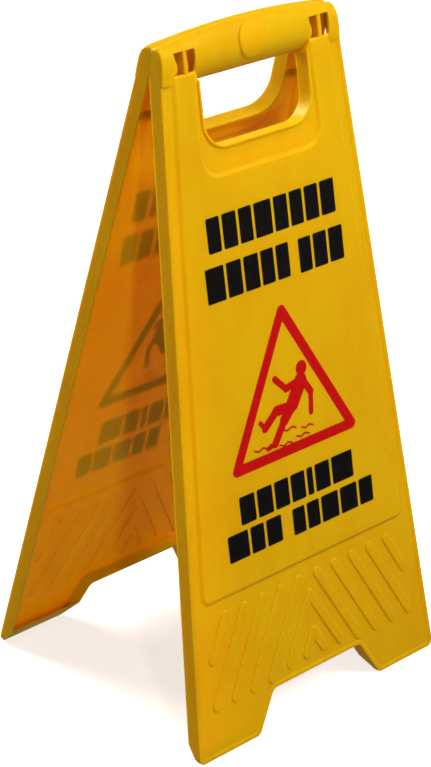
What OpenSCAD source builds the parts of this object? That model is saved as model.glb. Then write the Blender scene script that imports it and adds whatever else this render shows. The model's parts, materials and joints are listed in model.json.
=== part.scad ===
// Folding wet floor sign: two identical moulded leaves that snap together at the
// handle and stand as an A-frame. Each leaf is drawn in its own space first: X across,
// Z up with 0 at the hinge axis, and the outer face towards -Y. "depth" is the distance
// from the plane of the open rim (depth 0) towards the outer face.

/* [Leaf] */
// Distance from the hinge axis to the foot edge, along the leaf
leaf_length = 591; // [520:1:740]
// Width across the feet
foot_width = 300; // [270:1:360]
// Width at the height of the hinge axis
hinge_width = 205.4; // [205:0.1:232]
// Lean of each leaf from upright when the sign stands open, in degrees
lean = 11.84; // [9:0.02:15]
// Depth of the side walls, from the rim to the border face
border_depth = 12.8; // [12:0.1:16]
// Wall thickness of the moulding
wall = 2.2; // [1.8:0.1:2.8]
// Radius of the outer foot corners
foot_corner_r = 6.5; // [3:0.5:12]

/* [Edge bead] */
// Width of the raised bead along the edge
bead_width = 4; // [2:0.5:6]
// Height of the bead above the border face
bead_rise = 0.8; // [0.4:0.1:1.5]

/* [Foot cut-out] */
// Width of the cut-out at the floor
arch_floor_width = 153; // [120:1:180]
// Width of the cut-out at its top
arch_top_width = 110; // [80:1:118]
// Height of the cut-out, along the leaf
arch_height = 36; // [25:1:50]
// Radius of the cut-out's corners
arch_corner_r = 7; // [3:0.5:10]
// Length over which the side walls taper away towards the foot edge
foot_bevel_length = 18; // [10:1:26]

/* [Label panel] */
// Height of the panel above the border face
panel_rise = 2; // [1.5:0.1:3]
// Margin from the leaf's side to the panel
panel_margin = 13.5; // [11:0.1:18]
// Distance from the foot edge to the panel's lower edge
panel_foot_gap = 139; // [120:1:170]
// Radius of the panel's lower corners
panel_corner_r = 8; // [4:0.5:14]
// Radius of the recess corners round the handle
recess_corner_r = 18; // [10:1:20]
// Distance from the handle opening to the recess edge, below the opening
recess_below = 23; // [15:1:30]
// Distance from the handle opening to the recess edge, beside the opening
recess_beside = 3.6; // [3.2:0.1:4]
// Extra half width of the recess at its lower edge
recess_flare = 3.5; // [0:0.5:7]

/* [Handle] */
// Width of the handle opening
opening_width = 123.6; // [110:0.1:124]
// Distance from the hinge axis down to the top of the opening
opening_top = 15.5; // [14:0.5:16.5]
// Height of the handle opening
opening_height = 56.5; // [46:0.5:68]
// Radius of the opening's lower corners
opening_corner_r = 23; // [12:1:25]
// Width of the lip round the opening
lip_width = 2; // [1:0.1:2.4]
// Height of the lip above the border face
lip_rise = 1; // [0.5:0.1:1.4]

/* [Grip] */
// Depth of the grip's crest from the rim plane
grip_crest = 16; // [15.8:0.1:18]
// Height of the crest above the hinge axis
crest_height = 5.5; // [4:0.5:6]
// Radius of the grip's face above the crest
grip_upper_r = 28; // [25:1:34]
// Radius of the grip's face below the crest
grip_lower_r = 22.5; // [22:0.5:28]
// Radius of the end lobes' face below the crest
lobe_r = 110; // [80:5:150]
// Distance from the middle of the leaf to each end lobe
lobe_start = 89; // [88.9:0.1:92]
// Distance from the hinge axis down to the bottom of the end lobes
lobe_bottom = 12; // [10:0.5:14]
// Height of the arched top above the hinge axis, at the middle
top_height = 28; // [26:0.5:32]
// Radius of the arched top
top_arch_r = 571; // [520:1:700]
// Radius of the rounded edge along the arched top
top_edge_r = 7.5; // [5:0.5:9]
// Radius of the round thumb pad
pad_r = 16.3; // [12:0.1:18]
// Height of the thumb pad above the grip
pad_rise = 1.6; // [0.8:0.1:2.4]
// Height of the thumb pad's centre above the hinge axis
pad_height = 7.6; // [5:0.1:9]

/* [Hinge] */
// Distance from the middle of the leaf to each hinge
hinge_offset = 77.4; // [76.4:0.1:78.4]
// Width of the window to the left of the rib
left_window = 10.6; // [8.4:0.1:10.8]
// Width of the window to the right of the rib
right_window = 8.4; // [7.4:0.1:8.6]
// Top of the windows above the hinge axis
window_top = 12.7; // [11:0.1:14]
// Bottom of the windows below the hinge axis
window_bottom = 6; // [5:0.1:7]
// Width of the rib between the windows
rib_width = 4.2; // [4:0.1:5]
// Thickness of the web that holds the bore
web_thickness = 4; // [3:0.1:4.2]
// Thickness of the ear that carries the stud
ear_thickness = 3.2; // [2.4:0.1:3.4]
// Radius of the web's round end
web_r = 7; // [6:0.1:7.4]
// Radius of the ear's round end
ear_r = 11.2; // [10.4:0.1:11.8]
// Radius of the stud
stud_r = 3; // [2:0.1:3.4]
// Radial clearance of the stud in its bore
stud_clearance = 0.06; // [0.02:0.01:0.1]
// Gap between neighbouring plates of the hinge
plate_gap = 0.2; // [0.15:0.05:0.4]
// Clearance of the rim and of the stop faces from the middle plane
rim_clearance = 0.1; // [0.05:0.05:0.3]
// Distance from the hinge axis down to the gussets inside the leaf's columns
gusset_drop = 46; // [30:1:60]
// Thickness of a gusset
gusset_thickness = 2; // [1.4:0.1:3]
// Depth of a gusset's free edge
gusset_rim = 4; // [2:0.5:7]

/* [Stiffening ribs] */
// Width of a raised rib
chevron_width = 9; // [6:0.5:10]
// Height of a rib above the border face
chevron_rise = 1.2; // [0.6:0.1:1.6]
// Distance between neighbouring ribs, across the leaf
chevron_pitch = 22.5; // [20:0.5:25]
// Distance from the panel's lower edge to the tops of the ribs
chevron_panel_gap = 16; // [12:1:24]
// Distance from the foot edge to the bottoms of the ribs
chevron_foot_gap = 46; // [44:1:56]
// Shift to the side over a rib's full length
chevron_shift = 44; // [38:1:46]

/* [Print] */
// Thickness of the printed ink
ink = 0.1; // [0.05:0.01:0.3]
// Side of the red triangle
triangle_side = 152; // [120:1:160]
// Width of the red triangle's line
triangle_line = 9.5; // [6:0.5:12]
// Distance from the hinge axis to the triangle's top
triangle_top = 219; // [210:1:226]

/* [Hidden] */

$fn = 64;
arc_steps = 8;
far = 60;                // reaches well past a leaf's depth
over = 0.6;              // overlap that fuses solids of one moulding

plastic = [0.95, 0.68, 0.05];
black_ink = [0.04, 0.04, 0.04];
red_ink = [0.82, 0.03, 0.03];

panel_depth = border_depth + panel_rise;
side_slope = (foot_width - hinge_width) / 2 / leaf_length;
opening_bottom = opening_top + opening_height;
recess_bottom = opening_bottom + recess_below;
recess_half = opening_width / 2 + recess_beside;
panel_bottom = leaf_length - panel_foot_gap;
front_edge_depth = border_depth + bead_rise;
axis_height = leaf_length * cos(lean) - front_edge_depth * sin(lean);
crest_upper_depth = grip_crest - grip_upper_r;
crest_lower_depth = grip_crest - grip_lower_r;
lobe_depth = grip_crest - lobe_r;
web_left = plate_gap / 2;
rib_left = hinge_offset + web_left + web_thickness - rib_width;
ear_right = -web_left - web_thickness - plate_gap;
ear_arm_depth = ear_r - 2;
grip_left = rib_left + rib_width + right_window - 2 * hinge_offset;
grip_right = rib_left - left_window;
chevron_length = leaf_length - chevron_foot_gap - panel_bottom - chevron_panel_gap;

function half_width(z) = hinge_width / 2 - z * side_slope;

// Corner rounding: each corner is [x, z, radius], listed anticlockwise
function unit(v) = v / norm(v);
function to_prev(c, i) = unit([for (k = [0, 1]) c[(i + len(c) - 1) % len(c)][k] - c[i][k]]);
function to_next(c, i) = unit([for (k = [0, 1]) c[(i + 1) % len(c)][k] - c[i][k]]);
function cross_z(a, b) = a[0] * b[1] - a[1] * b[0];
function is_outer(c, i) = cross_z(-to_prev(c, i), to_next(c, i)) > 0;
function half_angle(c, i) = acos(min(1, max(-1, to_prev(c, i) * to_next(c, i)))) / 2;
function bisector(c, i) = unit(to_prev(c, i) + to_next(c, i));
function arc_point(c, i, f) =
    let (a = half_angle(c, i), r = c[i][2], w = 180 - 2 * a,
         mid = [c[i][0], c[i][1]] + bisector(c, i) * r / sin(a),
         from = [c[i][0], c[i][1]] + to_prev(c, i) * r / tan(a) - mid,
         till = [c[i][0], c[i][1]] + to_next(c, i) * r / tan(a) - mid)
    mid + (from * sin((1 - f) * w) + till * sin(f * w)) / sin(w);
function rounded(c) = [
    for (i = [0 : len(c) - 1])
        for (k = [0 : (c[i][2] > 0 ? arc_steps : 0)])
            c[i][2] > 0 ? arc_point(c, i, k / arc_steps) : [c[i][0], c[i][1]]
];
// The same corners moved inwards by d, with their radii adjusted to match
function inset(c, d) = [
    for (i = [0 : len(c) - 1])
        let (side = is_outer(c, i) ? 1 : -1,
             p = [c[i][0], c[i][1]] + bisector(c, i) * side * d / sin(half_angle(c, i)))
        [p[0], p[1], c[i][2] > 0 ? max(0.4, c[i][2] - side * d) : 0]
];

// The outline of a stroke with round ends between two points
function capsule(from, till, d) =
    let (turn = atan2(till[1] - from[1], till[0] - from[0]))
    [
        for (end = [0, 1], k = [0 : 2 * arc_steps])
            let (a = turn + 90 + 180 * end + 90 * k / arc_steps)
            (end > 0 ? till : from) + d / 2 * [cos(a), sin(a)]
    ];

function leaf_corners(top) = [
    [-half_width(-leaf_length), -leaf_length, foot_corner_r],
    [-arch_floor_width / 2, -leaf_length, arch_corner_r],
    [-arch_top_width / 2, arch_height - leaf_length, arch_corner_r],
    [arch_top_width / 2, arch_height - leaf_length, arch_corner_r],
    [arch_floor_width / 2, -leaf_length, arch_corner_r],
    [half_width(-leaf_length), -leaf_length, foot_corner_r],
    [half_width(top), top, 0],
    [-half_width(top), top, 0]
];
function panel_corners() = [
    [panel_margin - half_width(-panel_bottom), -panel_bottom, panel_corner_r],
    [half_width(-panel_bottom) - panel_margin, -panel_bottom, panel_corner_r],
    [half_width(-window_bottom) - panel_margin, -window_bottom, 1],
    [recess_half, -window_bottom, 1],
    [recess_half + recess_flare, -recess_bottom, recess_corner_r],
    [-recess_half - recess_flare, -recess_bottom, recess_corner_r],
    [-recess_half, -window_bottom, 1],
    [panel_margin - half_width(-window_bottom), -window_bottom, 1]
];
function opening_corners() = [
    [-opening_width / 2, -opening_bottom, opening_corner_r],
    [opening_width / 2, -opening_bottom, opening_corner_r],
    [opening_width / 2, -opening_top, 1],
    [-opening_width / 2, -opening_top, 1]
];

function relief_corners() = [
    [-opening_width / 2, -opening_top, 0],
    [opening_width / 2, -opening_top, 0],
    [grip_right, -window_bottom, 0],
    [grip_right, far, 0],
    [grip_left, far, 0],
    [grip_left, -window_bottom, 0]
];

// A flat piece of the given outline between two depths
module slab(points, from, till) {
    translate([0, -from, 0])
        rotate([90, 0, 0])
            linear_extrude(till - from)
                polygon(points);
}

// A block between two corners given as [x, depth, z]
module block(low, high) {
    translate([low[0], -high[1], low[2]])
        cube([high[0] - low[0], high[1] - low[1], high[2] - low[2]]);
}

// A round bar across the leaf
module bar(r, x, length, depth, z) {
    translate([x, -depth, z])
        rotate([0, 90, 0])
            cylinder(r = r, h = length);
}

// The barrel of the grip, moved inwards by "in" and drawn over its full length
module grip_barrel(in) {
    span = 2 * half_width(0);
    intersection() {
        union() {
            intersection() {
                bar(grip_upper_r - in, -span / 2, span, crest_upper_depth, crest_height);
                block([-span, 0, crest_height], [span, far, far]);
            }
            intersection() {
                bar(grip_lower_r - in, -span / 2, span, crest_lower_depth, crest_height);
                block([-span, 0, in - opening_top], [span, far, crest_height]);
            }
            for (side = [-1, 1])
                intersection() {
                    bar(lobe_r - in, side > 0 ? lobe_start + in : -span / 2,
                        span / 2 - lobe_start - in, lobe_depth, crest_height);
                    block([-span, 0, in - lobe_bottom], [span, far, crest_height]);
                }
        }
        top_cap(in);
    }
}

// The space under the arched top edge, swept round the arch's centre
module top_cap(in) {
    edge = max(1, top_edge_r - in);
    translate([0, 0, top_height - top_arch_r])
        rotate([90, 0, 0])
            rotate_extrude($fn = 360)
                difference() {
                    translate([top_arch_r - far * 1.5, 0])
                        square([far * 1.5 - in, far]);
                    translate([top_arch_r - in - edge, grip_crest - in - edge])
                        difference() {
                            square(far);
                            circle(edge);
                        }
                }
}

module thumb_pad() {
    translate([0, -pad_rise, 0])
        intersection() {
            grip_barrel(0);
            translate([0, far, pad_height])
                rotate([90, 0, 0])
                    cylinder(r = pad_r, h = 2 * far);
        }
}

// Everything inside the leaf's outline, moved inwards by "in"
module inside_outline(in) {
    intersection() {
        slab(rounded(inset(leaf_corners(far), in)), -1, far);
        children();
    }
}

// The flat part below the hinge axis, between two depths
module flat_part(from, till, top) {
    block([-foot_width, from, -leaf_length - 1], [foot_width, till, top]);
}

// The space round the grip that the flat part and the panel stay out of
module grip_relief(grow) {
    slab(rounded(inset(relief_corners(), -grow)), -far, far);
}

// The outer form of a leaf, without its openings
module leaf_form() {
    inside_outline(0)
        union() {
            difference() {
                flat_part(0, border_depth, crest_height / 2);
                grip_relief(0);
            }
            grip_barrel(0);
            thumb_pad();
            difference() {
                flat_part(border_depth - over, front_edge_depth, -lobe_bottom);
                slab(rounded(inset(leaf_corners(far), bead_width)), 0, far);
            }
        }
    difference() {
        slab(rounded(panel_corners()), border_depth - over, panel_depth);
        grip_relief(0);
    }
}

// The hollow behind the outer walls
module leaf_hollow() {
    difference() {
        union() {
            inside_outline(wall)
                union() {
                    difference() {
                        flat_part(-1, border_depth - wall, crest_height / 2 - wall);
                        grip_relief(wall);
                    }
                    grip_barrel(wall);
                }
            difference() {
                slab(rounded(inset(panel_corners(), wall)), -1, panel_depth - wall);
                grip_relief(wall);
            }
        }
        foot_bevel(wall);
    }
}

// What is cut from the back of the feet, moved up by "lift"
module foot_bevel(lift) {
    translate([-foot_width, 0, lift - leaf_length])
        rotate([90, 0, 90])
            linear_extrude(2 * foot_width)
                polygon([
                    [far, -far],
                    [far, foot_bevel_length],
                    [0, foot_bevel_length],
                    [wall - border_depth, 0],
                    [wall - border_depth, -far]
                ]);
}

// Everything behind the rim plane and behind the stop face above the hinge
module behind_rim() {
    translate([-foot_width, -rim_clearance, -2 * leaf_length])
        cube([2 * foot_width, far, 3 * leaf_length]);
    rotate([lean, 0, 0])
        translate([-foot_width, -rim_clearance, 0])
            cube([2 * foot_width, far, far]);
}

// A plate of the hinge: an arm fixed to the moulding and a round end on the axis
module hinge_plate(x, thickness, round_r, arm) {
    translate([x, 0, 0])
        rotate([90, 0, 90])
            linear_extrude(thickness)
                polygon(arm);
    bar(round_r, x, thickness, 0, 0);
}

module hinge_web(at) {
    top_depth = (window_top + wall) * tan(lean) + rim_clearance;
    hinge_plate(at + web_left, web_thickness, web_r, [
        [-rim_clearance, 0],
        [-top_depth, window_top + wall],
        [over - border_depth, window_top + wall],
        [over - border_depth, -window_bottom - wall],
        [-rim_clearance, -window_bottom - wall]
    ]);
}

module hinge_ear(at) {
    left = at + ear_right - ear_thickness;
    top_depth = (window_top + wall) * tan(lean) + rim_clearance;
    hinge_plate(left, ear_thickness, ear_r, [
        [-rim_clearance, 0],
        [-top_depth, window_top + wall],
        [over - border_depth, window_top + wall],
        [-ear_arm_depth, window_top],
        [-ear_arm_depth, -window_bottom],
        [over - border_depth, -window_bottom - wall],
        [-rim_clearance, -window_bottom - wall]
    ]);
    bar(stud_r, left, ear_thickness + plate_gap + web_thickness, 0, 0);
}

// The two windows of one hinge, cut as one hole that the rib then crosses
module hinge_window(at) {
    rib = at - hinge_offset + rib_left;
    block([rib - left_window, border_depth - wall - over, -window_bottom],
          [rib + rib_width + right_window, far, window_top]);
}

module hinge_rib(at) {
    rib = at - hinge_offset + rib_left;
    block([rib, border_depth - wall, -window_bottom - over],
          [rib + rib_width, panel_depth, window_top + over]);
}

// A rib on the lower face, from its top end, over "part" of the full length
module chevron_leg(x, z, part, side) {
    reach = [side * chevron_shift, -chevron_length] * part;
    slab(capsule([x, z], [x, z] + reach, chevron_width), border_depth - over,
         border_depth + chevron_rise);
}

module chevrons() {
    top = -panel_bottom - chevron_panel_gap;
    for (side = [-1, 1]) {
        for (k = [0 : 3])
            chevron_leg(side * (k + 0.5) * chevron_pitch, top, 1, side);
        chevron_leg(side * 4.5 * chevron_pitch, top, 0.45, side);
        chevron_leg(0, top - 0.22 * chevron_length, 0.72, side);
        chevron_leg(0, top - 0.68 * chevron_length, 0.24, side);
    }
}

// Cross walls that stiffen the columns on both sides of the handle opening
module gussets() {
    for (side = [0, 1])
        mirror([side, 0, 0])
            intersection() {
                block([(opening_width + wall) / 2, gusset_rim, -gusset_drop - gusset_thickness],
                      [foot_width / 2, far, -gusset_drop]);
                union() {
                    slab(rounded(inset(leaf_corners(far), wall / 2)), 0, border_depth - wall / 2);
                    slab(rounded(panel_corners()), 0, panel_depth - wall / 2);
                }
            }
}

// One leaf, complete with its half of both hinges
module leaf() {
    difference() {
        union() {
            difference() {
                union() {
                    difference() {
                        leaf_form();
                        leaf_hollow();
                    }
                    difference() {
                        union() {
                            slab(rounded(inset(opening_corners(), -wall)), 0, border_depth);
                            slab(rounded(inset(opening_corners(), -lip_width)), 0,
                                 border_depth + lip_rise);
                        }
                        grip_relief(0);
                    }
                    chevrons();
                    gussets();
                }
                for (at = [-hinge_offset, hinge_offset])
                    hinge_window(at);
                slab(rounded(opening_corners()), -far, far);
                behind_rim();
                foot_bevel(0);
            }
            for (at = [-hinge_offset, hinge_offset]) {
                hinge_rib(at);
                hinge_web(at);
                hinge_ear(at);
            }
        }
        for (at = [-hinge_offset, hinge_offset])
            bar(stud_r + stud_clearance, at + web_left - plate_gap / 2,
                web_thickness + plate_gap, 0, 0);
    }
}

// Moves a leaf, or what is on it, to the place it has when the sign stands open
module standing() {
    translate([0, 0, axis_height])
        rotate([-lean, 0, 0])
            children();
}

module sole_cut() {
    translate([-foot_width, -foot_width, -2 * far])
        cube([2 * foot_width, 2 * foot_width, 2 * far]);
}

// A row of plain blocks; widths are listed from left to right
module block_row(left, z, height, gap, widths) {
    for (k = [0 : len(widths) - 1]) {
        x = left + k * gap + (k > 0 ? sum(widths, k - 1) : 0);
        slab(rounded([
            [x, z - height, 1.5],
            [x + widths[k], z - height, 1.5],
            [x + widths[k], z, 1.5],
            [x, z, 1.5]
        ]), panel_depth, panel_depth + ink);
    }
}

function sum(v, k) = k > 0 ? v[k] + sum(v, k - 1) : v[0];

module black_print() {
    block_row(-74, -127, 30, 3, [15, 16, 15, 20, 16, 15, 16, 17]);
    block_row(-81, -168.5, 30, 3, [21, 17, 17, 15, 15]);
    block_row(28, -169.5, 30, 3, [15, 16, 17]);
    block_row(-72, -371, 25, 3, [18, 18, 17, 17, 7, 18, 26]);
    block_row(-90, -401, 24, 3, [24, 16, 18]);
    block_row(-12, -402, 24, 3, [15, 15, 21, 21, 17]);
}

module stroke(from, till, d) {
    polygon(capsule(from, till, d));
}

// A broken wavy line of water: short strokes that step up and down
module ripple(x, z, strokes, step) {
    for (k = [0 : strokes - 1])
        stroke([x + k * step, z - (k % 2) * 2],
               [x + (k + 1) * step, z - ((k + 1) % 2) * 2], 1.6);
}

// A plain figure that slips, drawn about the middle of the triangle's base
module slipping_figure() {
    translate([16.5, 70]) circle(6.6);
    stroke([14, 59], [2, 42], 15);
    stroke([7, 59], [-4, 57], 7);
    stroke([-4, 57], [-16, 69], 6);
    stroke([18, 57], [25, 46], 7);
    stroke([25, 46], [23, 28], 5.5);
    stroke([-1, 40], [-18, 41], 9.5);
    stroke([-18, 41], [-33, 30], 8);
    stroke([-33, 30], [-38, 36], 4.5);
    stroke([1, 40], [-10, 30], 10.5);
    stroke([-10, 30], [-23, 13], 8);
    stroke([-23, 13], [-32, 11], 4.5);
}

module red_print() {
    height = triangle_side * sqrt(3) / 2;
    base = -triangle_top - height;
    triangle = [
        [-triangle_side / 2 - 3, base - 2, 5],
        [triangle_side / 2 + 3, base - 2, 5],
        [0, base + height + 4, 5]
    ];
    slab_ink() {
        difference() {
            polygon(rounded(triangle));
            polygon(rounded(inset([for (c = triangle) [c[0], c[1], 0]], triangle_line)));
        }
        translate([0, base]) {
            slipping_figure();
            ripple(-48, 14, 4, 5);
            ripple(-18, 10, 3, 5);
            ripple(-12, 22, 3, 5);
            ripple(3, 12, 3, 5);
            ripple(10, 18, 3, 4.5);
        }
    }
}

// Ink on the panel: a flat drawing given its thickness
module slab_ink() {
    translate([0, -panel_depth, 0])
        rotate([90, 0, 0])
            linear_extrude(ink)
                children();
}

module front_leaf() {
    color(plastic) difference() {
        standing() leaf();
        sole_cut();
    }
}

module rear_leaf() {
    rotate([0, 0, 180]) front_leaf();
}

module front_black_print() {
    color(black_ink) standing() black_print();
}

module front_red_print() {
    color(red_ink) standing() red_print();
}

module rear_black_print() {
    rotate([0, 0, 180]) front_black_print();
}

module rear_red_print() {
    rotate([0, 0, 180]) front_red_print();
}

front_leaf();
rear_leaf();
front_black_print();
front_red_print();
rear_black_print();
rear_red_print();
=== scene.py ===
import json
import math
import bpy
import bmesh
from mathutils import Matrix, Vector, geometry


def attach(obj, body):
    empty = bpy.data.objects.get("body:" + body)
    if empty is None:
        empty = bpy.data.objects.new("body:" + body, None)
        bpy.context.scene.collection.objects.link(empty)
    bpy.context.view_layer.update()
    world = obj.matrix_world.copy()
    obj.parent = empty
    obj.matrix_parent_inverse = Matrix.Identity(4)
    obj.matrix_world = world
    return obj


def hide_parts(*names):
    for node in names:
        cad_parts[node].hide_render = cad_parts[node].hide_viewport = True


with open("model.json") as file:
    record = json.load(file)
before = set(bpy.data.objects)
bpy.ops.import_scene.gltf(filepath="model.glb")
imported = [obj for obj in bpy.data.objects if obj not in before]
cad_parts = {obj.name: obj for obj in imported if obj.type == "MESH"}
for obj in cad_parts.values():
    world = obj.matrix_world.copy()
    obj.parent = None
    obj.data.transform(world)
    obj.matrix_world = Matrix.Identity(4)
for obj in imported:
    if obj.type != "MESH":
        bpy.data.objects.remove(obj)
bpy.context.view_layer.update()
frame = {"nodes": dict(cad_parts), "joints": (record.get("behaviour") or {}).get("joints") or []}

mm = 0.001
arcSteps = 12                 # steps in a rounded corner of an outline
circleSteps = 64
leastRadius = 0.3             # a corner keeps this radius however far its outline is inset
farDepth = 60.0               # cutters reach this far past the moulding in depth
farSide = 400.0               # and this far sideways
farAbove = 99.0               # and this far above the hinge axis

# x runs across the leaf, z up along it from the hinge axis, depth from the open rim outwards, in mm
leafSizes = {
    "length": 591.0,          # hinge axis to foot edge
    "footWidth": 300.0,
    "hingeWidth": 205.4,
    "flatTop": 2.75,          # the flat part ends here, inside the grip
    "lean": 11.84,            # degrees from upright in the open stance
    "border": 12.8,           # depth of the border face
    "wall": 2.2,
    "footCorner": 6.5,
    "rimGap": 0.1,            # rim and stop faces stay this far from the middle plane
    "bevel": 18.0,            # the side walls taper away over this length above the foot edge
    "bead": 3.0,              # width of the flat top of the raised edge
    "beadSlope": 2.2,         # width of its inner slope
    "beadRise": 0.8,
    "beadEdge": 0.9,          # radius of its outer edge
}
archSizes = {"floorWidth": 153.0, "topWidth": 110.0, "height": 36.0, "corner": 7.0}
openingSizes = {
    "width": 123.6,
    "top": 15.5,
    "height": 56.5,
    "corner": 23.0,
    "lip": 2.3,
    "lipRise": 1.5,
    "lipRound": ((0, 0.5), (0.15, 0.15), (0.5, 0), (1.0, 0)),         # inset, drop below its top
    "mouth": ((0.0, 0.9), (0.1, 1.2), (0.35, 1.45)),                  # widening, rise over the border
    "mouthWide": 0.5,
}

leafLength = leafSizes["length"]
wall = leafSizes["wall"]
border = leafSizes["border"]
openingBottom = openingSizes["top"] + openingSizes["height"]
axisHeight = frame["joints"][0]["pos_m"][2]


# Half the leaf's width at a place along it
def halfWidth(z):
    slope = (leafSizes["footWidth"] - leafSizes["hingeWidth"]) / 2 / leafLength
    return leafSizes["hingeWidth"] / 2 - z * slope


# Runs from 0 to 1 with soft ends
def smooth(f):
    return f * f * (3 - 2 * f)


# Points of a closed outline; corners are (x, z, radius), anticlockwise
def roundedLoop(corners, inset=0.0, steps=arcSteps):
    count = len(corners)
    points = []
    for i, (x, z, radius) in enumerate(corners):
        here = Vector((x, z))
        back = (Vector(corners[i - 1][:2]) - here).normalized()
        ahead = (Vector(corners[(i + 1) % count][:2]) - here).normalized()
        half = back.angle(ahead) / 2
        outer = 1 if (-back).cross(ahead) > 0 else -1
        toMiddle = (back + ahead).normalized()
        here = here + toMiddle * outer * inset / math.sin(half)
        if radius <= 0:
            points.append(here)
            continue
        radius = max(leastRadius, radius - outer * inset)
        middle = here + toMiddle * radius / math.sin(half)
        start = here + back * radius / math.tan(half) - middle
        end = here + ahead * radius / math.tan(half) - middle
        sweep = math.pi - 2 * half
        for k in range(steps + 1):
            f = k / steps
            arm = (start * math.sin((1 - f) * sweep) + end * math.sin(f * sweep)) / math.sin(sweep)
            points.append(middle + arm)
    return points


def leafCorners():
    a = archSizes
    foot, top = halfWidth(-leafLength), leafSizes["flatTop"]
    return [
        (-foot, -leafLength, leafSizes["footCorner"]),
        (-a["floorWidth"] / 2, -leafLength, a["corner"]),
        (-a["topWidth"] / 2, a["height"] - leafLength, a["corner"]),
        (a["topWidth"] / 2, a["height"] - leafLength, a["corner"]),
        (a["floorWidth"] / 2, -leafLength, a["corner"]),
        (foot, -leafLength, leafSizes["footCorner"]),
        (halfWidth(top), top, 0),
        (-halfWidth(top), top, 0),
    ]


panelSizes = {
    "rise": 2.0,
    "margin": 13.5,
    "footGap": 139.0,
    "corner": 8.0,
    "slope": 4.3,             # width of the soft step round the panel
    "recessCorner": 18.0,
    "recessBelow": 23.0,
    "recessBeside": 3.6,
    "recessFlare": 3.5,
    "top": -6.0,
}
panelDepth = border + panelSizes["rise"]
panelBottom = leafLength - panelSizes["footGap"]


def panelCorners():
    p = panelSizes
    low, high = -panelBottom, p["top"]
    inner = openingSizes["width"] / 2 + p["recessBeside"]
    recess = -openingBottom - p["recessBelow"]
    return [
        (p["margin"] - halfWidth(low), low, p["corner"]),
        (halfWidth(low) - p["margin"], low, p["corner"]),
        (halfWidth(high) - p["margin"], high, 1.5),
        (inner, high, 1.5),
        (inner + p["recessFlare"], recess, p["recessCorner"]),
        (-inner - p["recessFlare"], recess, p["recessCorner"]),
        (-inner, high, 1.5),
        (p["margin"] - halfWidth(high), high, 1.5),
    ]


def openingCorners():
    o = openingSizes
    half, top = o["width"] / 2, -o["top"]
    return [
        (-half, -openingBottom, o["corner"]),
        (half, -openingBottom, o["corner"]),
        (half, top, 1),
        (-half, top, 1),
    ]


def capsuleLoop(start, end, radius, steps=10):
    start, end = Vector(start), Vector(end)
    turn = math.atan2(end.y - start.y, end.x - start.x)
    points = []
    for k in range(2 * (steps + 1)):
        side, step = divmod(k, steps + 1)
        angle = turn + math.pi / 2 + math.pi * side + math.pi * step / steps
        points.append((end if side else start) + radius * Vector((math.cos(angle), math.sin(angle))))
    return points


def addObject(name, mesh):
    obj = bpy.data.objects.new(name, mesh)
    bpy.context.scene.collection.objects.link(obj)
    return obj


# A closed mesh lofted through rings of (x, depth, z) points; the end rings may bend inwards
def loft(name, rings):
    mesh = bpy.data.meshes.new(name)
    bm = bmesh.new()
    layers = [[bm.verts.new((x, -depth, z)) for x, depth, z in ring] for ring in rings]
    count = len(layers[0])
    for a, b in zip(layers, layers[1:]):
        for i in range(count):
            j = (i + 1) % count
            bm.faces.new((a[i], a[j], b[j], b[i]))
    for ring in (layers[0], layers[-1]):
        for a, b, c in geometry.tessellate_polygon([[v.co for v in ring]]):
            bm.faces.new((ring[a], ring[b], ring[c]))
    bmesh.ops.recalc_face_normals(bm, faces=bm.faces)
    bm.to_mesh(mesh)
    bm.free()
    return addObject(name, mesh)


# A loft through outlines of (x, z) points, each with one depth or a function that gives it
def solidFromRings(name, outlines):
    rings = []
    for points, depth in outlines:
        depths = [depth(p) if callable(depth) else depth for p in points]
        rings.append([(p[0], d, p[1]) for p, d in zip(points, depths)])
    return loft(name, rings)


# A slab with one outline, inset by a distance, between two depths
def flatSlab(name, corners, inset, low, high):
    loop = roundedLoop(corners, inset)
    return solidFromRings(name, [(loop, low), (loop, high)])


# A plain block between two corners given as (x, depth, z)
def block(name, low, high):
    loop = [(low[0], low[2]), (high[0], low[2]), (high[0], high[2]), (low[0], high[2])]
    return solidFromRings(name, [(loop, low[1]), (loop, high[1])])


# A bar along x with a (depth, z) profile
def profileBar(name, profile, left, right):
    return loft(name, [[(x, depth, z) for depth, z in profile] for x in (left, right)])


# The mesh an object has once its modifiers have run
def plainMesh(obj):
    bpy.context.view_layer.update()
    return bpy.data.meshes.new_from_object(obj.evaluated_get(bpy.context.evaluated_depsgraph_get()))


# Joins or cuts with the solids in others, which are used up
def combine(base, others, operation):
    for other in others:
        cut = base.modifiers.new("cut", "BOOLEAN")
        cut.operation = operation
        cut.solver = "MANIFOLD"
        cut.object = other
        result = plainMesh(base)
        base.modifiers.remove(cut)
        base.data = result
        bpy.data.objects.remove(other)
    return base


# Rings of a raised face whose side is a soft S-shaped slope of the given width
def stepUp(corners, base, low, high, width, edge):
    rings = [(roundedLoop(corners, edge), base), (roundedLoop(corners, edge), low)]
    for k in range(1, 9):
        f = k / 9
        rise = low + (high - low) * smooth(f)
        rings.append((roundedLoop(corners, edge + width * f), rise))
    rings.append((roundedLoop(corners, edge + width), high))
    return rings


gripSizes = {
    "crest": 16.0,            # depth of the crest
    "crestHeight": 5.5,
    "lowerRadius": 22.5,
    "lobeRadius": 110.0,
    "lobeStart": 86.0,        # the underside changes into the flatter end lobes between these places
    "lobeFull": 90.5,
    "lobeBottom": 12.0,
    "topMiddle": 26.7,
    "topEnd": 19.2,
    "shoulder": 7.4,          # depth at which the rounded top is highest
    "crownTurn": 125,         # degrees of arc from the crest over the top
    "endRound": 2.2,
    "left": -64.9,            # the flat part stays clear of the grip between left and right
    "right": 66.7,
    "padRadius": 16.3,
    "padRise": 1.6,
    "padHeight": 7.6,
    "padEdge": 1.8,
}
gripBack = -1.0               # the barrel starts this far behind the open rim
gripRings = 72


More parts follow.
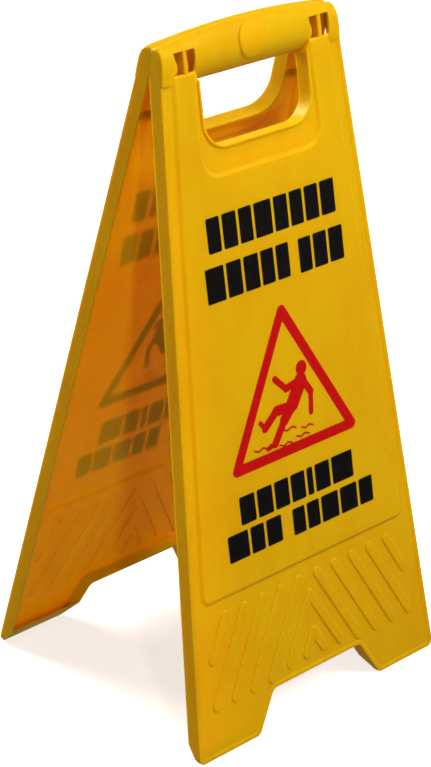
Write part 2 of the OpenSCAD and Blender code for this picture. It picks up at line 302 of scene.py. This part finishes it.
def gripTop(x):
    g = gripSizes
    return g["topMiddle"] - (g["topMiddle"] - g["topEnd"]) * (x / halfWidth(0)) ** 2


# 0 along the grip, 1 at its end lobes
def lobeShare(x):
    g = gripSizes
    f = min(1.0, max(0.0, (abs(x) - g["lobeStart"]) / (g["lobeFull"] - g["lobeStart"])))
    return smooth(f)


def gripBottom(x):
    return -openingSizes["top"] + (openingSizes["top"] - gripSizes["lobeBottom"]) * lobeShare(x)


# Depth of the grip's face at a place on it
def gripDepth(x, z, inset=0.0):
    g = gripSizes
    crest = g["crest"] - inset
    rise = z - g["crestHeight"]
    if rise < 0:
        depths = []
        for name in ("lowerRadius", "lobeRadius"):
            radius = g[name] - inset
            depths.append(crest - radius + math.sqrt(max(0.0, radius ** 2 - rise ** 2)))
        return depths[0] + (depths[1] - depths[0]) * lobeShare(x)
    reach = gripTop(x) - inset - g["crestHeight"]
    return g["shoulder"] + (crest - g["shoulder"]) * math.sqrt(max(0.0, 1 - (rise / reach) ** 2))


# The (depth, z) outline of the grip at one place along it
def gripProfile(x, inset):
    g = gripSizes
    bottom = gripBottom(x) + inset
    outline = [(gripBack, bottom)]
    for k in range(17):
        z = bottom + (g["crestHeight"] - bottom) * (1 - math.cos(k / 16 * math.pi / 2))
        outline.append((gripDepth(x, z, inset), z))
    crest = g["crest"] - inset
    reach = gripTop(x) - inset - g["crestHeight"]
    for k in range(1, 19):
        angle = math.radians(k * g["crownTurn"] / 18)
        depth = g["shoulder"] + (crest - g["shoulder"]) * math.cos(angle)
        outline.append((depth, g["crestHeight"] + reach * math.sin(angle)))
    outline.append((gripBack, outline[-1][1]))
    return outline


# The barrel from end to end, with rounded ends that follow the leaf's sloping sides
def gripSolid(name, inset, endRound):
    full = halfWidth(0) - inset
    right = []
    for k in range(6, -1, -1):
        angle = math.radians(15 * k)
        right.append((full - endRound + endRound * math.sin(angle), endRound * (1 - math.cos(angle))))
    middle = [((full - endRound) * (1 - 2 * k / gripRings), 0.0) for k in range(1, gripRings)]
    left = [(-x, more) for x, more in reversed(right)]
    rings = []
    for x, more in right + middle + left:
        ring = []
        for depth, z in gripProfile(x, inset + more):
            shift = (halfWidth(z) - halfWidth(0)) * x / halfWidth(0)
            ring.append((x + shift, depth, z))
        rings.append(ring)
    return loft(name, rings)


# The space that the flat part and the panel leave free round the grip
def gripRelief(grow):
    g = gripSizes
    half, low, high = openingSizes["width"] / 2, -openingSizes["top"], panelSizes["top"]
    corners = [
        (-half, low, 0), (half, low, 0), (g["right"], high, 0),
        (g["right"], farDepth, 0), (g["left"], farDepth, 0), (g["left"], high, 0),
    ]
    return flatSlab("relief", corners, -grow, -farDepth, farDepth)


# The round pad on the grip, which follows its curved face
def thumbPad():
    g = gripSizes
    steps = [(0.0, -1.0), (g["padEdge"] * 0.1, 0.1)]
    for turn in range(15, 91, 15):
        a = math.radians(turn)
        steps.append((g["padEdge"] * (1 - math.cos(a)), g["padRise"] * math.sin(a)))
    steps += [(g["padRadius"] * f, g["padRise"]) for f in (0.3, 0.5, 0.7, 0.9)]
    rings = []
    for inset, rise in steps:
        loop = []
        for k in range(circleSteps):
            angle = 2 * math.pi * k / circleSteps
            r = g["padRadius"] - inset
            loop.append((r * math.cos(angle), g["padHeight"] + r * math.sin(angle)))
        rings.append((loop, lambda p, rise=rise: gripDepth(p[0], p[1]) + rise))
    return solidFromRings("pad", rings)


ribSizes = {
    "width": 9.0,
    "rise": 1.2,
    "edge": 0.9,
    "pitch": 22.5,
    "panelGap": 16.0,
    "footGap": 46.0,
    "shift": 44.0,            # a full rib moves this far sideways from top to bottom
    "count": 4,
    "shortAt": 4.5,           # the short rib's place, in pitches from the middle
    "shortPart": 0.45,
    "chevrons": (("chevron", 0.22, 0.72), ("smallChevron", 0.68, 0.24)),      # start, part of a rib
    "root": 0.6,              # a rib starts this far under the face that carries it
}


# A raised bar with round ends and a soft top edge
def ribSolid(name, start, end, inset, low, high, edge):
    radius = ribSizes["width"] / 2 - inset
    rings = [(capsuleLoop(start, end, radius), low), (capsuleLoop(start, end, radius), high - edge)]
    for angle in (30, 60, 90):
        a = math.radians(angle)
        shrink = edge * (1 - math.cos(a))
        rings.append((capsuleLoop(start, end, radius - shrink), high - edge + edge * math.sin(a)))
    return solidFromRings(name, rings)


# Geometry Nodes: a row of one rib, set out at a pitch across the leaf
def ribRowTree():
    tree = bpy.data.node_groups.new("ribRow", "GeometryNodeTree")
    face = tree.interface
    face.new_socket("Rib", in_out="INPUT", socket_type="NodeSocketObject")
    face.new_socket("Count", in_out="INPUT", socket_type="NodeSocketInt")
    face.new_socket("Pitch", in_out="INPUT", socket_type="NodeSocketFloat")
    face.new_socket("Finish", in_out="INPUT", socket_type="NodeSocketMaterial")
    face.new_socket("Geometry", in_out="OUTPUT", socket_type="NodeSocketGeometry")
    nodes, links = tree.nodes, tree.links
    given = nodes.new("NodeGroupInput")
    out = nodes.new("NodeGroupOutput")
    line = nodes.new("GeometryNodeMeshLine")
    step = nodes.new("ShaderNodeCombineXYZ")
    info = nodes.new("GeometryNodeObjectInfo")
    place = nodes.new("GeometryNodeInstanceOnPoints")
    real = nodes.new("GeometryNodeRealizeInstances")
    paint = nodes.new("GeometryNodeSetMaterial")
    links.new(given.outputs["Count"], line.inputs["Count"])
    links.new(given.outputs["Pitch"], step.inputs["X"])
    links.new(step.outputs["Vector"], line.inputs["Offset"])
    links.new(given.outputs["Rib"], info.inputs["Object"])
    links.new(line.outputs["Mesh"], place.inputs["Points"])
    links.new(info.outputs["Geometry"], place.inputs["Instance"])
    links.new(place.outputs["Instances"], real.inputs["Geometry"])
    links.new(real.outputs["Geometry"], paint.inputs["Geometry"])
    links.new(given.outputs["Finish"], paint.inputs["Material"])
    links.new(paint.outputs["Geometry"], out.inputs["Geometry"])
    return tree


def ribRow(tree, rib, count, pitch, finish):
    holder = addObject(rib.name + "Row", bpy.data.meshes.new(rib.name + "Row"))
    modifier = holder.modifiers.new("row", "NODES")
    modifier.node_group = tree
    ids = {s.name: s.identifier for s in tree.interface.items_tree if s.in_out == "INPUT"}
    for label, value in {"Rib": rib, "Count": count, "Pitch": pitch, "Finish": finish}.items():
        modifier[ids[label]] = value
    mesh = plainMesh(holder)
    holder.modifiers.remove(modifier)
    holder.data = mesh
    bpy.data.objects.remove(rib)
    return holder


# All the ribs of the lower face: rows that lean outwards, and the chevrons between them
def ribPattern(tree, finish, inset, low, high, edge):
    r = ribSizes
    top = -panelBottom - r["panelGap"]
    drop = leafLength - r["footGap"] + top
    parts = []
    for side in (-1, 1):
        start = (side * r["pitch"] / 2, top)
        end = (start[0] + side * r["shift"], top - drop)
        rib = ribSolid("rib%+d" % side, start, end, inset, low, high, edge)
        parts.append(ribRow(tree, rib, r["count"], side * r["pitch"], finish))
        outer = (side * r["shortAt"] * r["pitch"], top)
        outerEnd = (outer[0] + side * r["shortPart"] * r["shift"], top - r["shortPart"] * drop)
        parts.append(ribSolid("shortRib%+d" % side, outer, outerEnd, inset, low, high, edge))
        for label, start, part in r["chevrons"]:
            apex = (0.0, top - start * drop)
            foot = (side * part * r["shift"], apex[1] - part * drop)
            parts.append(ribSolid("%s%+d" % (label, side), apex, foot, inset, low, high, edge))
    return parts


hingeSizes = {
    "offset": 77.4,           # from the middle to the plane between the two leaves' webs
    "leftWindow": 10.6,
    "rightWindow": 8.4,
    "windowTop": 12.7,
    "windowBottom": 6.0,
    "windowCorner": 0.7,
    "windowFront": 30.0,
    "ribWidth": 4.2,
    "web": 4.0,
    "ear": 3.2,
    "webRadius": 7.0,
    "earRadius": 11.2,
    "stud": 3.0,
    "studGap": 0.06,
    "plateGap": 0.2,
    "armInset": 0.3,          # an arm ends this far inside the border face, and outside it at its top
    "earBack": 2.0,           # between the windows' edges an ear's arm stays this far inside its round end
    "studRoot": 1.0,          # the stud starts this far inside its ear
    "overlap": 0.6,           # the rib reaches this far past the window, the cutter this far behind the wall
    "ribRound": ((0.0, 0.8), (0.25, 0.25), (0.8, 0.0)),               # inset, drop below its top
}
gussetSizes = {
    "drop": 46.0,
    "thickness": 2.0,
    "rim": 4.0,               # clear of the open rim
    "panelFrom": 71.0,        # the cross wall is deeper behind the raised panel
    "panelTo": 89.0,
}


def circleProfile(radius):
    turns = [2 * math.pi * k / circleSteps for k in range(circleSteps)]
    return [(radius * math.cos(a), radius * math.sin(a)) for a in turns]


# A plate across the hinge axis: an arm fixed to the moulding and a round end
def hingePlate(name, arm, radius, left, right):
    plate = profileBar(name, arm, left, right)
    return combine(plate, [profileBar(name + "End", circleProfile(radius), left, right)], "UNION")


# Corners of an upright rectangle for roundedLoop
def boxCorners(left, right, low, high, radius):
    return [(left, low, radius), (right, low, radius), (right, high, radius), (left, high, radius)]


# The rib, web, ear and stud of one hinge, its window cutter and its bore cutter
def hingeParts(at):
    h = hingeSizes
    lean = math.tan(math.radians(leafSizes["lean"]))
    gap = leafSizes["rimGap"]
    up, down = h["windowTop"] + wall, -h["windowBottom"] - wall
    webLeft = at + h["plateGap"] / 2
    earRight = at - h["plateGap"] * 1.5 - h["web"]
    earLeft = earRight - h["ear"]
    ribRight = webLeft + h["web"]
    ribLeft = ribRight - h["ribWidth"]
    low, high = -h["windowBottom"], h["windowTop"]
    inside, insideTop = border - h["armInset"], border + h["armInset"]
    front = h["earRadius"] - h["earBack"]
    webArm = [(gap, 0), (gap, down), (inside, down), (insideTop, up), (up * lean + gap, up)]
    earArm = [
        (gap, 0), (gap, down), (inside, down), (front, low),
        (front, high), (insideTop, up), (up * lean + gap, up),
    ]
    web = hingePlate("web", webArm, h["webRadius"], webLeft, ribRight)
    ear = hingePlate("ear", earArm, h["earRadius"], earLeft, earRight)
    studRight = earRight + h["plateGap"] + h["web"]
    stud = profileBar("stud", circleProfile(h["stud"]), earLeft + h["studRoot"], studRight)
    combine(ear, [stud], "UNION")
    ribLoop = boxCorners(ribLeft, ribRight, low - h["overlap"], high + h["overlap"], 0)
    ribRings = [(roundedLoop(ribLoop), border - wall)]
    ribRings += [(roundedLoop(ribLoop, inset), panelDepth - drop) for inset, drop in h["ribRound"]]
    rib = solidFromRings("windowRib", ribRings)
    left, right = ribLeft - h["leftWindow"], ribRight + h["rightWindow"]
    loop = roundedLoop(boxCorners(left, right, low, high, h["windowCorner"]), 0, 4)
    windowRings = [(loop, border - wall - h["overlap"]), (loop, h["windowFront"])]
    window = solidFromRings("window", windowRings)
    boreEnds = (webLeft - h["plateGap"] / 2, ribRight + h["plateGap"] / 2)
    bore = profileBar("bore", circleProfile(h["stud"] + h["studGap"]), *boreEnds)
    return rib, web, ear, window, bore


# Cross walls in the columns on both sides of the opening
def gussets():
    g = gussetSizes
    low, high = -g["drop"] - g["thickness"], -g["drop"]
    inner = openingSizes["width"] / 2 + wall / 2
    spans = (
        (inner, halfWidth(high) - wall / 2, border - wall / 2),
        (g["panelFrom"], g["panelTo"], panelDepth - wall / 2),
    )
    parts = []
    for side in (-1, 1):
        for start, end, depth in spans:
            left, right = sorted((side * start, side * end))
            parts.append(block("gusset", (left, g["rim"], low), (right, depth, high)))
    return parts


# The leaf without its hollow: border face, raised bead and feet
def leafOuter():
    s = leafSizes
    edge, top = s["beadEdge"], border + s["beadRise"]
    rings = [(roundedLoop(leafCorners()), 0.0), (roundedLoop(leafCorners()), top - edge)]
    for turn in (22.5, 45, 67.5, 90):
        a = math.radians(turn)
        outline = roundedLoop(leafCorners(), edge * (1 - math.cos(a)))
        rings.append((outline, top - edge + edge * math.sin(a)))
    for k in range(7):
        f = k / 6
        outline = roundedLoop(leafCorners(), s["bead"] + s["beadSlope"] * f)
        rings.append((outline, top - s["beadRise"] * smooth(f)))
    outer = solidFromRings("leafOuter", rings)
    trim = block("beadTrim", (-200, border, -gripSizes["lobeBottom"]), (200, farDepth, 10))
    return combine(outer, [trim], "DIFFERENCE")


# The prism that is cut from the back of the feet, or from their hollow when it is lifted
def footBevel(lift):
    edge, far, face = lift - leafLength, farDepth, border - wall
    high = edge + leafSizes["bevel"] * (1 + far / face)
    profile = [(-far, edge - far), (-far, high), (face, edge), (face, edge - far)]
    return profileBar("footBevel", profile, -farSide, farSide)


# Everything under the floor, in the space that place maps to the world
def soleCutter(place):
    bm = bmesh.new()
    size = Matrix.Translation((0, 0, -0.1)) @ Matrix.Diagonal((1.0, 1.0, 0.2, 1.0))
    bmesh.ops.create_cube(bm, size=1.0, matrix=size)
    mesh = bpy.data.meshes.new("sole")
    bm.to_mesh(mesh)
    bm.free()
    mesh.transform(place.inverted())
    return addObject("sole", mesh)


def outerForm(tree, finish):
    slope, lip = panelSizes["slope"], openingSizes["lip"]
    lipTop = border + openingSizes["lipRise"]
    outer = leafOuter()
    panelRings = stepUp(panelCorners(), border - 1, border, panelDepth, slope, -slope / 2)
    lipRings = [(roundedLoop(openingCorners(), -lip), border - 1)]
    for inset, drop in openingSizes["lipRound"]:
        lipRings.append((roundedLoop(openingCorners(), inset - lip), lipTop - drop))
    low, high = border - ribSizes["root"], border + ribSizes["rise"]
    ribs = ribPattern(tree, finish, 0.0, low, high, ribSizes["edge"])
    panel, rim = solidFromRings("panel", panelRings), solidFromRings("lip", lipRings)
    combine(outer, [panel, rim] + ribs, "UNION")
    combine(outer, [gripRelief(0.0)], "DIFFERENCE")
    combine(outer, [gripSolid("grip", 0.0, gripSizes["endRound"]), thumbPad()], "UNION")
    print("outer form:", len(outer.data.polygons), "faces")
    return outer


# The space behind the face, which is cut from the outer form
hollowSizes = {
    "panelInset": 1.0,
    "ribInset": 1.4,
    "ribEdge": 0.5,
    "gripRound": 0.6,
}


def innerForm(tree, finish):
    s, slope = hollowSizes, panelSizes["slope"]
    face, inset = border - wall, s["panelInset"] - slope / 2
    hollow = flatSlab("hollow", leafCorners(), wall, -1.0, face)
    rings = stepUp(panelCorners(), 0.0, face - 0.1, panelDepth - wall, slope, inset)
    combine(hollow, [solidFromRings("panelHollow", rings)], "UNION")
    combine(hollow, [gripRelief(wall)], "DIFFERENCE")
    low, high = face - ribSizes["root"], border + ribSizes["rise"] - wall
    recesses = ribPattern(tree, finish, s["ribInset"], low, high, s["ribEdge"])
    combine(hollow, [gripSolid("gripHollow", wall, s["gripRound"])] + recesses, "UNION")
    return combine(hollow, [footBevel(wall)], "DIFFERENCE")


def makeLeaf(name, tree, finish):
    leaf = outerForm(tree, finish)
    combine(leaf, [innerForm(tree, finish)], "DIFFERENCE")
    flange = flatSlab("flange", openingCorners(), -wall, 0.0, border - 0.5)
    combine(flange, [gripRelief(0.0)], "DIFFERENCE")
    combine(leaf, [flange] + gussets(), "UNION")
    print("hollowed:", len(leaf.data.polygons), "faces")
    mouth = [(0.0, -farDepth)] + [(side, border + rise) for side, rise in openingSizes["mouth"]]
    mouth.append((openingSizes["mouthWide"], farDepth))
    mouthRings = [(roundedLoop(openingCorners(), -side), depth) for side, depth in mouth]
    opening = solidFromRings("opening", mouthRings)
    tilt = math.radians(leafSizes["lean"])
    gap = leafSizes["rimGap"]
    behind = [
        (gap, -2 * leafLength), (gap, 0), (gap + math.tan(tilt) * farAbove, farAbove),
        (-farDepth, farAbove), (-farDepth, -2 * leafLength),
    ]
    behindRim = profileBar("behindRim", behind, -farSide, farSide)
    parts, bores, windows = [], [], []
    for at in (-hingeSizes["offset"], hingeSizes["offset"]):
        rib, web, ear, window, bore = hingeParts(at)
        parts += [rib, web, ear]
        windows.append(window)
        bores.append(bore)
    combine(leaf, windows + [opening, behindRim, footBevel(0.0)], "DIFFERENCE")
    combine(leaf, parts, "UNION")
    combine(leaf, bores, "DIFFERENCE")
    place = Matrix.Rotation(-tilt, 4, "X") @ Matrix.Scale(mm, 4)
    place = Matrix.Translation((0, 0, axisHeight)) @ place
    combine(leaf, [soleCutter(place)], "DIFFERENCE")
    leaf.data.transform(place)
    leaf.name = name
    leaf.data.name = name
    finishMesh(leaf)
    print(name, len(leaf.data.polygons), "faces")
    return leaf


sharpAngle = 32


def weightNormals(obj):
    obj.modifiers.new("weighted", "WEIGHTED_NORMAL").keep_sharp = True


# Shades smooth, with sharp edges where two faces really meet at an angle
def finishMesh(obj):
    bm = bmesh.new()
    bm.from_mesh(obj.data)
    bmesh.ops.triangulate(bm, faces=bm.faces)
    bm.to_mesh(obj.data)
    bm.free()
    obj.data.shade_smooth()
    obj.data.set_sharp_from_angle(angle=math.radians(sharpAngle))
    weightNormals(obj)


# Wraps a shader socket so that maths reads as plain expressions
class Sock:
    def __init__(self, tree, socket):
        self.tree = tree
        self.socket = socket

    def node(self, kind, settings=None, inputs=None, output=0):
        n = self.tree.nodes.new(kind)
        for key, value in (settings or {}).items():
            setattr(n, key, value)
        for key, value in (inputs or {}).items():
            if isinstance(value, Sock):
                self.tree.links.new(value.socket, n.inputs[key])
            else:
                n.inputs[key].default_value = value
        return Sock(self.tree, n.outputs[output])

    def maths(self, operation, other):
        return self.node("ShaderNodeMath", {"operation": operation}, {0: self, 1: other})

    def __add__(self, other):
        return self.maths("ADD", other)

    __radd__ = __add__

    def __mul__(self, other):
        return self.maths("MULTIPLY", other)

    def noise(self, scale, detail=2.0, roughness=0.5):
        given = {"Vector": self, "Scale": scale, "Detail": detail, "Roughness": roughness}
        return self.node("ShaderNodeTexNoise", None, given)

    def stretched(self, scale, turn=(0.0, 0.0, 0.0)):
        return self.node("ShaderNodeMapping", None, {"Vector": self, "Scale": scale, "Rotation": turn})

    def between(self, low, high):
        given = {"Value": self, "From Min": low, "From Max": high}
        return self.node("ShaderNodeMapRange", {"interpolation_type": "SMOOTHSTEP"}, given)

    def mixColour(self, first, second):
        given = {"Factor": self, 6: first, 7: second}
        return self.node("ShaderNodeMix", {"data_type": "RGBA"}, given, 2)

    def bump(self, strength, distance):
        given = {"Strength": strength, "Distance": distance, "Height": self}
        return self.node("ShaderNodeBump", None, given)


def newMaterial(name):
    material = bpy.data.materials.new(name)
    material.use_nodes = True
    tree = material.node_tree
    shader = tree.nodes["Principled BSDF"]
    coords = tree.nodes.new("ShaderNodeTexCoord")
    return material, tree, shader, Sock(tree, coords.outputs["Object"])


plasticLook = {
    "colour": (0.86, 0.47, 0.003, 1.0),
    "deep": (0.81, 0.40, 0.002, 1.0),
    "roughness": 0.34,
    "ior": 1.49,
    "specular": 0.32,
    "tint": (1.0, 0.62, 0.04, 1.0),
    "scatter": 0.7,
    "scatterRadius": (1.0, 0.68, 0.02),
    "scatterScale": 0.008,
    "cloudScale": 9.0,
    "speckScale": 420.0,
    "rippleScale": 55.0,
    "grainScale": 1400.0,
    "streaks": (60.0, 60.0, 5.0),
    "scuffs": (40.0, 40.0, 260.0),
    "scuffTurn": (0.3, 0.2, 0.5),
    "bump": (0.12, 0.0006),   # strength, distance
}


# Yellow moulded polypropylene: satin, slightly translucent, with faint flow marks, scuffs and grain
def mouldedPlastic(name):
    look = plasticLook
    material, tree, shader, place = newMaterial(name)
    cloud = place.noise(look["cloudScale"], 3.0)
    streak = place.stretched(look["streaks"]).noise(1.0, 3.0)
    tone = cloud.between(0.35, 0.7) * 0.6 + streak.between(0.4, 0.75) * 0.4
    colour = tone.mixColour(look["colour"], look["deep"])
    speck = place.noise(look["speckScale"], 4.0, 0.7)
    scuff = place.stretched(look["scuffs"], look["scuffTurn"]).noise(1.0, 4.0, 0.6).between(0.62, 0.74)
    tree.links.new(colour.socket, shader.inputs["Base Color"])
    rough = look["roughness"] + speck.between(0.3, 0.8) * 0.08
    rough = rough + scuff * 0.16 + cloud.between(0.4, 0.7) * 0.05
    tree.links.new(rough.socket, shader.inputs["Roughness"])
    grain = place.noise(look["grainScale"])
    ripple = place.noise(look["rippleScale"])
    height = grain * 0.25 + ripple * 0.5 + scuff * -0.2
    tree.links.new(height.bump(*look["bump"]).socket, shader.inputs["Normal"])
    shader.inputs["Subsurface Weight"].default_value = look["scatter"]
    shader.inputs["Subsurface Radius"].default_value = look["scatterRadius"]
    shader.inputs["Subsurface Scale"].default_value = look["scatterScale"]
    shader.inputs["Specular IOR Level"].default_value = look["specular"]
    shader.inputs["Specular Tint"].default_value = look["tint"]
    shader.inputs["IOR"].default_value = look["ior"]
    return material


inkLook = {
    "roughness": 0.5,
    "specular": 0.06,
    "patchScale": 160.0,
    "speckScale": 600.0,
    "grainScale": 1400.0,
    "bump": (0.1, 0.0004),    # strength, distance
}


# Printed ink: even colour with slightly thin patches and a little plastic grain
def printedInk(name, colour, worn):
    look = inkLook
    material, tree, shader, place = newMaterial(name)
    tone = place.noise(look["patchScale"], 4.0, 0.65).between(0.45, 0.85)
    tree.links.new(tone.mixColour(colour, worn).socket, shader.inputs["Base Color"])
    rough = look["roughness"] + place.noise(look["speckScale"], 3.0).between(0.3, 0.7) * 0.14
    tree.links.new(rough.socket, shader.inputs["Roughness"])
    shader.inputs["Specular IOR Level"].default_value = look["specular"]
    grain = place.noise(look["grainScale"])
    tree.links.new(grain.bump(*look["bump"]).socket, shader.inputs["Normal"])
    return material


yellow = mouldedPlastic("mouldedYellow")
blackInk = printedInk("blackInk", (0.004, 0.004, 0.004, 1), (0.012, 0.01, 0.006, 1))
redInk = printedInk("redInk", (0.56, 0.004, 0.004, 1), (0.62, 0.012, 0.006, 1))
print("materials ready")

tree = ribRowTree()
frontShell = makeLeaf("frontMoulding", tree, yellow)
rearShell = addObject("rearMoulding", frontShell.data.copy())
rearShell.data.transform(Matrix.Rotation(math.pi, 4, "Z"))
weightNormals(rearShell)
for shell, side in ((frontShell, "front"), (rearShell, "rear")):
    shell.data.materials.clear()
    shell.data.materials.append(yellow)
    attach(shell, side + "_leaf_body")
    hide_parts(side + "_leaf")
for side in ("front", "rear"):
    for ink, finish in (("black", blackInk), ("red", redInk)):
        node = frame["nodes"][side + "_" + ink + "_print"]
        node.data.materials.clear()
        node.data.materials.append(finish)
print("leaves and prints ready")


cameraSettings = {
    "azimuth": -45.039,
    "elevation": 26.141,
    "roll": 2.148,
    "distance": 2.1287,
    "target": (-0.01436, 0.0, 0.27146),
    "lens": 114.3,
    "sensor": 36,
    "clip": 50,
}


def addCamera():
    s = cameraSettings
    az, el = math.radians(s["azimuth"]), math.radians(s["elevation"])
    back = Vector((math.sin(az) * math.cos(el), -math.cos(az) * math.cos(el), math.sin(el)))
    data = bpy.data.cameras.new("camera")
    data.lens = s["lens"]
    data.sensor_width = s["sensor"]
    data.clip_end = s["clip"]
    camera = bpy.data.objects.new("camera", data)
    bpy.context.scene.collection.objects.link(camera)
    level = back.to_track_quat("Z", "Y").to_matrix().to_4x4()
    roll = Matrix.Rotation(math.radians(s["roll"]), 4, "Z")
    stand = Matrix.Translation(Vector(s["target"]) + back * s["distance"])
    camera.matrix_world = stand @ level @ roll
    bpy.context.scene.camera = camera


lightsAim = Vector((0, 0, 0.3))


def addLight(name, place, size, power, colour):
    data = bpy.data.lights.new(name, "AREA")
    data.shape = "DISK"
    data.size = size
    data.energy = power
    data.color = colour
    light = bpy.data.objects.new(name, data)
    bpy.context.scene.collection.objects.link(light)
    light.location = place
    light.rotation_euler = (lightsAim - Vector(place)).to_track_quat("-Z", "Y").to_euler()


floorLook = {
    "halfSize": 60,
    "drop": 0.0005,
    "shades": ((0.88, 0.88, 0.88, 1), (0.9, 0.9, 0.9, 1)),
    "roughness": 0.9,
    "glow": 0.65,
}


# A wide pale floor that neither lights the sign nor shows in its gloss
def addFloor():
    look = floorLook
    bm = bmesh.new()
    bmesh.ops.create_grid(bm, x_segments=1, y_segments=1, size=look["halfSize"])
    mesh = bpy.data.meshes.new("floor")
    bm.to_mesh(mesh)
    bm.free()
    floor = addObject("floor", mesh)
    floor.location = (0, 0, -look["drop"])
    floor.visible_diffuse = False
    floor.visible_glossy = False
    material, tree, shader, place = newMaterial("paleFloor")
    colour = place.noise(3.0, 3.0).between(0.3, 0.7).mixColour(*look["shades"])
    tree.links.new(colour.socket, shader.inputs["Base Color"])
    shader.inputs["Roughness"].default_value = look["roughness"]
    shader.inputs["Emission Color"].default_value = (1, 1, 1, 1)
    shader.inputs["Emission Strength"].default_value = look["glow"]
    mesh.materials.append(material)


worldLook = {"colour": (1.0, 0.9, 0.78, 1), "strength": 0.2}


def addWorld():
    world = bpy.data.worlds.new("studio")
    bpy.context.scene.world = world
    world.use_nodes = True
    background = world.node_tree.nodes["Background"]
    background.inputs["Color"].default_value = worldLook["colour"]
    background.inputs["Strength"].default_value = worldLook["strength"]


nearWhite = (1.0, 0.98, 0.94)
lights = {
    "key": {"place": (0.75, -1.3, 1.5), "size": 0.6, "power": 13.5, "colour": nearWhite},
    "top": {"place": (0.3, -0.7, 1.9), "size": 0.8, "power": 15, "colour": nearWhite},
    "glint": {"place": (-1.2, -1.9, 0.9), "size": 0.2, "power": 10, "colour": nearWhite},
    "back": {"place": (-0.4, 2.6, 1.6), "size": 1.6, "power": 110, "colour": (1.0, 0.95, 0.85)},
}
addCamera()
addFloor()
for name, given in lights.items():
    addLight(name, **given)
addWorld()
bpy.context.scene.view_settings.view_transform = "Standard"
print("camera and light ready")
